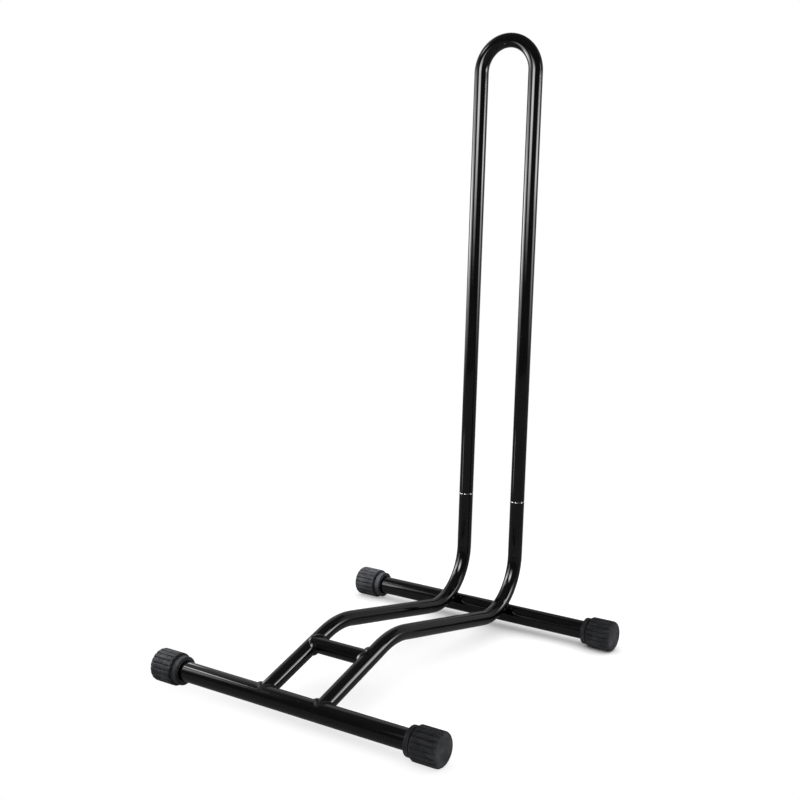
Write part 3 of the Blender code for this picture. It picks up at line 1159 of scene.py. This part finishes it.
@dataclass(frozen=True)
class Welds:
    """The six beads of the base: glossy at the brace, and dull on the cross tubes."""

    stock: Stock
    view: SideView
    bead: WeldBead = WeldBead()
    heel_opening: Span = (0.0007, 0.0023)
    heel_bulge: float = 0.0018
    seed_step: float = 1.7
    dull: BlackPaint = BlackPaint(deep=(0.005, 0.005, 0.0055), thin=(0.011, 0.011, 0.011),
                                  roughness=(0.5, 0.62), sag_waves=140.0, specular=0.1)
    glossy: BlackPaint = BlackPaint(roughness=(0.16, 0.22), sag_waves=140.0)

    def build(self) -> None:
        """Makes each bead in place and paints it."""
        dull = self.dull.material("dull_black_weld_paint")
        glossy = self.glossy.material("gloss_black_weld_paint")
        for side in Side:
            offset = side.outward * self.stock.leg_offset
            front = self.bead.saddle(End.FRONT.middle + offset, X_AXIS, self.stock.cross_radius,
                                     self.view.foot + offset, self.view.climb, self.stock.frame_radius)
            brace = self.bead.saddle(self.view.brace_place + offset, self.view.climb, self.stock.frame_radius,
                                     self.view.brace_place + offset, -side.outward, self.stock.brace_radius)
            heel = self.bead.wedge(self.stock, self.view, self.heel_opening, self.heel_bulge)
            beads = [("front", front, dull), ("brace", brace, glossy), ("rear", heel, dull)]
            for number, (place, sections, paint) in enumerate(beads):
                node = f"{place}_{side.word}_weld"
                mesh = self.bead.mesh(node + "_metal", sections, seed=self.seed_step * number + side.value)
                if place == "rear":
                    mesh.transform(Matrix.Translation(Vector(offset)))
                dress(node + "_painted", node, Body.BASE, mesh, [paint])


@dataclass(frozen=True)
class EndCap:
    """A ribbed rubber cap that is pushed on a cross tube's end and stands on the floor."""

    stock: Stock
    end: End
    side: Side
    radius: float = 0.0165
    length: float = 0.0355
    end_thickness: float = 0.004
    seat_gap: float = 0.0003
    shoulder: float = 0.0032
    shoulder_round: float = 0.0024
    rib_count: int = 20
    rib_depth: float = 0.0011
    rib_land_share: float = 0.46
    rib_start: float = 0.00112
    rib_rise: float = 0.00176
    rib_run_out: float = 0.0011
    rib_overrun: float = 0.0001
    rib_over_neck: float = 0.0012
    neck_radius: float = 0.0131
    neck_width: float = 0.0024
    collar_radius: float = 0.0144
    collar_width: float = 0.0052
    edge_round: float = 0.0006
    face_dome: float = 0.0008
    middle_radius: float = 0.001
    points_per_rib: int = 18
    face_stations: int = 10
    barrel_stations: int = 20
    corner_steps: int = 6

    @property
    def barrel_end(self) -> float:
        """How far in from the face the ribbed barrel ends."""
        return self.length - self.collar_width - self.neck_width

    def outline(self) -> Array:
        """The cap's outline, from the middle of its face over the ribs and the collar into its bore.

        Returns:
            Points (distance in from the face, radius), with rounded corners.
        """
        bore = self.stock.cross_radius + self.seat_gap
        face_radius = self.radius - self.shoulder
        corners = np.array([
            (0.0, self.middle_radius),
            (self.face_dome, face_radius),
            (self.shoulder, self.radius),
            (self.barrel_end, self.radius),
            (self.barrel_end, self.neck_radius),
            (self.barrel_end + self.neck_width, self.neck_radius),
            (self.barrel_end + self.neck_width, self.collar_radius),
            (self.length, self.collar_radius),
            (self.length, bore),
            (self.end_thickness, bore),
            (self.end_thickness, self.middle_radius),
        ])
        rounds = np.full(len(corners), self.edge_round)
        rounds[1] = rounds[2] = self.shoulder_round
        rough = rounded_profile(corners, rounds, self.corner_steps)
        barrel = np.linspace(self.shoulder + self.shoulder_round, self.barrel_end - self.edge_round,
                             self.barrel_stations + 2)[1:-1]
        ridge = np.stack([barrel, np.full_like(barrel, self.radius)], axis=1)
        before = int(np.argmax(rough[:, 0] > barrel[0]))
        across = np.linspace(self.middle_radius, face_radius - self.shoulder, self.face_stations)
        fall = self.face_dome * (across / face_radius) ** 2
        return np.vstack([np.stack([fall, across], axis=1), rough[1:before], ridge, rough[before:]])

    def grooves(self, angles: Array) -> Array:
        """How deep the grooves are round the cap: 0 on each land, and a round valley, cos^2, between two."""
        turn = (angles + math.pi / 2) * self.rib_count / (2 * math.pi)
        from_land = np.abs(turn - np.round(turn)) * 2
        valley = np.clip((from_land - self.rib_land_share) / (1 - self.rib_land_share), 0.0, 1.0)
        return np.sin(valley * math.pi / 2) ** 2

    def mesh(self) -> bpy.types.Mesh:
        """The cap's closed surface: the outline turned about the tube's axis, with the grooves taken off.

        The lowest rib is pressed flat on the floor.

        Returns:
            The mesh, in place.
        """
        inward, radius = self.outline().T
        angles = ring_angles(self.rib_count * self.points_per_rib)
        rise = smooth(self.rib_start, self.rib_start + self.rib_rise, inward)
        run_out = smooth(self.barrel_end + self.rib_overrun, self.barrel_end - self.rib_run_out, inward)
        ribbed = rise * run_out * (radius > self.neck_radius + self.rib_over_neck)
        reach = radius[:, None] - self.rib_depth * self.grooves(angles)[None, :] * ribbed[:, None]
        _, axis_y, axis_z = self.end.middle
        tube_end = self.end.box[1][0]
        x = self.side.value * (tube_end + self.end_thickness + self.seat_gap - inward)
        height = np.maximum(axis_z + reach * np.sin(angles), 0.0)
        points = np.stack([np.broadcast_to(x[:, None], reach.shape), axis_y + reach * np.cos(angles), height],
                          axis=-1)
        return ring_mesh(f"{self.end.value}_{self.side.word}_cap_skin", points, looped=False)

    def build(self, rubber: bpy.types.Material) -> None:
        """Makes the cap and dresses it in rubber."""
        node = f"{self.end.value}_{self.side.word}_cap"
        dress(node + "_rubber", node, Body.BASE, self.mesh(), [rubber])


@dataclass(frozen=True)
class Card:
    """A studio card that only reflections see: a stretch of a round wall or of a flat ring.

    It glows, or is black where its glow is 0, and covers what lies behind it as far as its opacity says.
    Angles are in degrees, and a fade is a share of the card's height or width.
    """

    name: str
    heading: float
    width: float
    radius: Span
    height: Span
    glow: float
    opacity: float = 1.0
    fade_low: float = 0.0
    fade_high: float = 0.0
    fade_side: float = 0.0
    centre: Span = (0.0, 0.0)
    columns: int = 97
    rows: int = 9

    def cover(self, sheet: NodeSheet) -> Socket | float:
        """How far the card covers what lies behind it.

        Args:
            sheet: The material's node tree.

        Returns:
            The opacity, times the fade at each edge that has one.
        """
        cover = self.opacity
        edges = [("X", 0.0, self.fade_side), ("X", 1.0, 1.0 - self.fade_side),
                 ("Y", 0.0, self.fade_low), ("Y", 1.0, 1.0 - self.fade_high)]
        split = sheet.node("ShaderNodeSeparateXYZ", {"Vector": sheet.node("ShaderNodeUVMap", uv_map="card")})
        for axis, edge, full in edges:
            if full != edge:
                fade = sheet.graded(split.outputs[axis], (edge, full))
                cover = sheet.reckoned("MULTIPLY", fade, cover)
        return cover

    def material(self) -> bpy.types.Material:
        """An emission laid over what is behind the card."""
        sheet = NodeSheet(self.name + "_light")
        sheet.owner.cycles.emission_sampling = "NONE"
        sheet.finish("ShaderNodeMixShader", {
            "Fac": self.cover(sheet),
            1: sheet.node("ShaderNodeBsdfTransparent"),
            2: sheet.node("ShaderNodeEmission", {"Strength": self.glow}),
        })
        return sheet.owner

    def build(self) -> None:
        """Makes the card: (c + r cos a, c + r sin a, z), with r and z moving together from edge to edge."""
        across = np.linspace(0.0, 1.0, self.columns)
        upward = np.linspace(0.0, 1.0, self.rows)
        u, v = (grid.ravel() for grid in np.meshgrid(across, upward))
        angle = np.radians(self.heading + (u - 0.5) * self.width)
        reach = self.radius[0] + (self.radius[1] - self.radius[0]) * v
        places = np.stack([self.centre[0] + reach * np.cos(angle), self.centre[1] + reach * np.sin(angle),
                           self.height[0] + (self.height[1] - self.height[0]) * v], axis=1)
        index = np.arange(len(u)).reshape(self.rows, self.columns)
        faces = np.stack([index[:-1, :-1], index[:-1, 1:], index[1:, 1:], index[1:, :-1]], axis=-1)
        mesh = bpy.data.meshes.new(self.name)
        mesh.from_pydata(places.tolist(), [], faces.reshape(-1, 4).tolist())
        corners = faces.ravel()
        spread = np.stack([u[corners], v[corners]], axis=1).astype(np.float32)
        mesh.uv_layers.new(name="card").data.foreach_set("uv", spread.ravel())
        mesh.materials.append(self.material())
        card = linked(self.name, mesh)
        hide_from(card, "camera", "diffuse", "shadow", "transmission", "volume_scatter")


@dataclass(frozen=True)
class SoftBox:
    """A rectangular studio lamp that lights the matt surfaces; the cards stand for it in the gloss.

    It lights only the things that it names, or all but them, as its reach says.
    """

    name: str
    place: Point
    aim: Point
    width: float
    height: float
    radiance: float
    named: tuple[str, ...] = ("studio_floor",)
    reach: Reach = Reach.ALL_BUT

    def build(self) -> None:
        """Makes the lamp; its power is radiance x pi x area."""
        lamp = bpy.data.lights.new(self.name, "AREA")
        lamp.shape = "RECTANGLE"
        lamp.size = self.width
        lamp.size_y = self.height
        lamp.energy = self.radiance * math.pi * self.width * self.height
        holder = linked(self.name, lamp)
        holder.location = self.place
        holder.rotation_mode = "QUATERNION"
        holder.rotation_quaternion = (Vector(self.aim) - Vector(self.place)).to_track_quat("-Z", "Y")
        hide_from(holder, "camera", "glossy")
        receivers = bpy.data.collections.new(self.name + "_receivers")
        for name in self.named:
            receivers.objects.link(bpy.data.objects[name])
        for entry in receivers.collection_objects:
            entry.light_linking.link_state = self.reach.value
        holder.light_linking.receiver_collection = receivers


@dataclass(frozen=True)
class Studio:
    """White paper floor, white surroundings, soft lamps and the cards that shape the gloss."""

    floor_half: float = 6.0
    floor_drop: float = 0.0001
    floor_white: float = 0.86
    floor_lift: float = 0.04
    paper_middle: Point = (0.08, 0.12, 0.0)
    paper_reach: Span = (0.12, 0.42)
    ambient: float = 0.06
    ambient_colour: Colour = (0.97, 0.985, 1.0)

    def seen_directly(self, sheet: NodeSheet) -> Socket:
        """1 for rays that show the background: camera, glossy and transmission rays.

        Args:
            sheet: Node tree to add the nodes to.

        Returns:
            The value.
        """
        path = sheet.node("ShaderNodeLightPath")
        value = path.outputs["Is Camera Ray"]
        for name in ("Is Glossy Ray", "Is Transmission Ray"):
            value = sheet.reckoned("MAXIMUM", value, path.outputs[name])
        return value

    def world(self) -> None:
        """White surroundings, and a plain level of soft light from all round."""
        sheet = NodeSheet("studio", world=True)
        bpy.context.scene.world = sheet.owner
        soft = {"Strength": self.ambient, "Color": (*self.ambient_colour, 1.0)}
        white = {"Strength": 1.0, "Color": (1.0, 1.0, 1.0, 1.0)}
        sheet.finish("ShaderNodeMixShader", {
            "Fac": self.seen_directly(sheet),
            1: sheet.node("ShaderNodeBackground", soft),
            2: sheet.node("ShaderNodeBackground", white),
        })

    def paper(self) -> bpy.types.Material:
        """Paper that takes the stand's shadow near it and melts into the white background further out.

        Returns:
            The material.
        """
        sheet = NodeSheet("white_paper")
        seen = self.seen_directly(sheet)
        matt = sheet.node("ShaderNodeBsdfDiffuse", {"Color": (*[self.floor_white] * 3, 1.0)})
        glow = sheet.reckoned("MULTIPLY", seen, self.floor_lift)
        lift = sheet.node("ShaderNodeEmission", {"Strength": glow})
        ends = {0: sheet.place, 1: self.paper_middle}
        away = sheet.node("ShaderNodeVectorMath", ends, operation="DISTANCE").outputs["Value"]
        far = sheet.graded(away, self.paper_reach)
        sheet.finish("ShaderNodeMixShader", {
            "Fac": sheet.reckoned("MULTIPLY", far, seen),
            1: sheet.node("ShaderNodeAddShader", {0: matt, 1: lift}),
            2: sheet.node("ShaderNodeEmission", {"Strength": 1.0}),
        })
        return sheet.owner

    def floor(self) -> None:
        """Lays the paper just under the stand."""
        half, drop = self.floor_half, -self.floor_drop
        mesh = bpy.data.meshes.new("studio_floor")
        corners = [(-half, -half, drop), (half, -half, drop), (half, half, drop), (-half, half, drop)]
        mesh.from_pydata(corners, [], [(0, 1, 2, 3)])
        mesh.materials.append(self.paper())
        linked("studio_floor", mesh)

    def lamps(self) -> None:
        """The lamps: one lights the paper alone, and the others the stand without the paper.

        The left one is kept off three of the caps, as with a flag, and the rear left cap has its own.
        """
        flagged = ("studio_floor", "front_right_cap_rubber", "rear_right_cap_rubber", "rear_left_cap_rubber")
        lamps = [
            SoftBox("paper_softbox", (0.0, 0.0, 1.5), (0.0, 0.0, 0.0), 6.0, 6.0, 1.75, reach=Reach.ONLY),
            SoftBox("top_softbox", (-0.35, -0.25, 1.9), (0.0, 0.0, 0.0), 1.3, 1.3, 1.2),
            SoftBox("left_softbox", (-0.40, -0.22, 0.38), (-0.16, -0.02, 0.0), 0.4, 0.4, 8.0, named=flagged),
            SoftBox("rear_softbox", (-0.32, 0.02, 0.5), (-0.165, 0.17, 0.015), 0.3, 0.3, 26.0,
                    named=("rear_left_cap_rubber",), reach=Reach.ONLY),
            SoftBox("right_softbox", (1.0, 0.6, 0.65), (0.17, 0.0, 0.02), 0.5, 0.4, 18.0),
        ]
        for lamp in lamps:
            lamp.build()

    def cards(self) -> None:
        """The dim room round the stand, and the glowing walls and strips inside it."""
        cards = [
            Card("dark_wall", 0, 360, (2.6, 2.6), (-0.05, 2.6), 0.09),
            Card("dark_ceiling", 0, 360, (0.001, 2.7), (2.6, 2.6), 0.12),
            # A black sheet just over the paper, seen only in reflections: painted shade that hides four
            # fifths of the paper from the gloss.
            Card("floor_veil", 0, 360, (0.001, 2.6), (0.0008, 0.0008), 0.0, opacity=0.8),
            Card("back_left", 160, 100, (1.75, 1.75), (0.0, 2.5), 0.5,
                 fade_low=0.05, fade_high=0.3, fade_side=0.2),
            Card("back_right", 80, 75, (1.8, 1.8), (0.0, 1.75), 0.35,
                 fade_low=0.05, fade_high=0.05, fade_side=0.15),
            Card("left_wall", 195, 70, (1.05, 1.05), (0.15, 0.9), 5.0,
                 fade_low=0.4, fade_high=0.4, fade_side=0.2),
            Card("right_wall", 30, 50, (1.7, 1.7), (0.05, 0.8), 6.0,
                 fade_low=0.6, fade_high=0.05, fade_side=0.5),
            Card("left_glow", 190, 35, (1.0, 1.0), (0.3, 0.65), 14.0,
                 fade_low=0.5, fade_high=0.45, fade_side=0.45),
            Card("right_glow", 25, 45, (1.6, 1.6), (0.45, 0.85), 12.0,
                 fade_low=0.3, fade_high=0.7, fade_side=0.45),
            Card("left_streak", -155, 24, (1.25, 1.25), (1.05, 1.35), 10.0,
                 fade_low=0.4, fade_high=0.45, fade_side=0.45),
            Card("right_strip", 28, 12, (1.55, 1.55), (0.65, 1.4), 8.0,
                 fade_low=0.45, fade_high=0.7, fade_side=0.5),
            Card("key_card", -86, 60, (0.9, 0.55), (0.35, 0.95), 16.0,
                 fade_low=0.7, fade_high=0.5, fade_side=0.35),
            Card("rear_tube_patch", 0, 360, (0.02, 0.02), (0.07, 0.17), 4.0,
                 fade_low=0.3, fade_high=0.3, centre=(-0.28, -0.06)),
        ]
        for card in cards:
            card.build()

    def build(self) -> None:
        """Sets up the surroundings, the floor, the lamps and the cards."""
        bpy.context.scene.view_settings.view_transform = "Standard"
        self.world()
        self.floor()
        self.lamps()
        self.cards()


@dataclass(frozen=True)
class PhotoCamera:
    """The camera at the photograph's place, for a square picture. Angles are in degrees."""

    azimuth: float = 34.15
    elevation: float = 9.42
    roll: float = 0.87
    target: Point = (-0.0182, 0.0160, 0.2759)
    distance: float = 1.285
    sensor: float = 36.0
    lens: float = 55.68

    def build(self) -> None:
        """Makes the camera, which looks at the target and stands back from it by the distance."""
        azimuth, elevation, roll = np.radians([self.azimuth, self.elevation, self.roll]).tolist()
        back = Vector((math.sin(azimuth) * math.cos(elevation), -math.cos(azimuth) * math.cos(elevation),
                       math.sin(elevation)))
        level = Vector((math.cos(azimuth), math.sin(azimuth), 0.0))
        upward = back.cross(level)
        right = level * math.cos(roll) + upward * math.sin(roll)
        up = upward * math.cos(roll) - level * math.sin(roll)
        lens = bpy.data.cameras.new("photo_camera")
        lens.sensor_width = self.sensor
        lens.lens = self.lens
        camera = linked("photo_camera", lens)
        turned = Matrix((right, up, back)).transposed().to_4x4()
        camera.matrix_world = Matrix.Translation(Vector(self.target) + back * self.distance) @ turned
        bpy.context.scene.camera = camera


def main() -> None:
    """Builds every piece in order and sets up the studio."""
    logging.basicConfig(level=logging.INFO, format="%(name)s: %(message)s")
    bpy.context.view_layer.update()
    stock = Stock()
    view = SideView(stock)
    paint = BlackPaint().material("gloss_black_paint")
    hoop_paint = BlackPaint().material("gloss_black_hoop_paint")
    rubber = MouldedRubber().material("charcoal_rubber")
    steel = BareSteel().material("bare_steel")

    for end in End:
        CrossTube(stock, end).build(paint)
    for side in Side:
        Leg(stock, view, side).build(paint, steel)
    Brace(stock, view).build(paint)
    Hoop(stock, view).build(hoop_paint, steel)
    Welds(stock, view).build()
    for end in End:
        for side in Side:
            EndCap(stock, end, side).build(rubber)

    PhotoCamera().build()
    Studio().build()


if __name__ == "__main__":
    main()
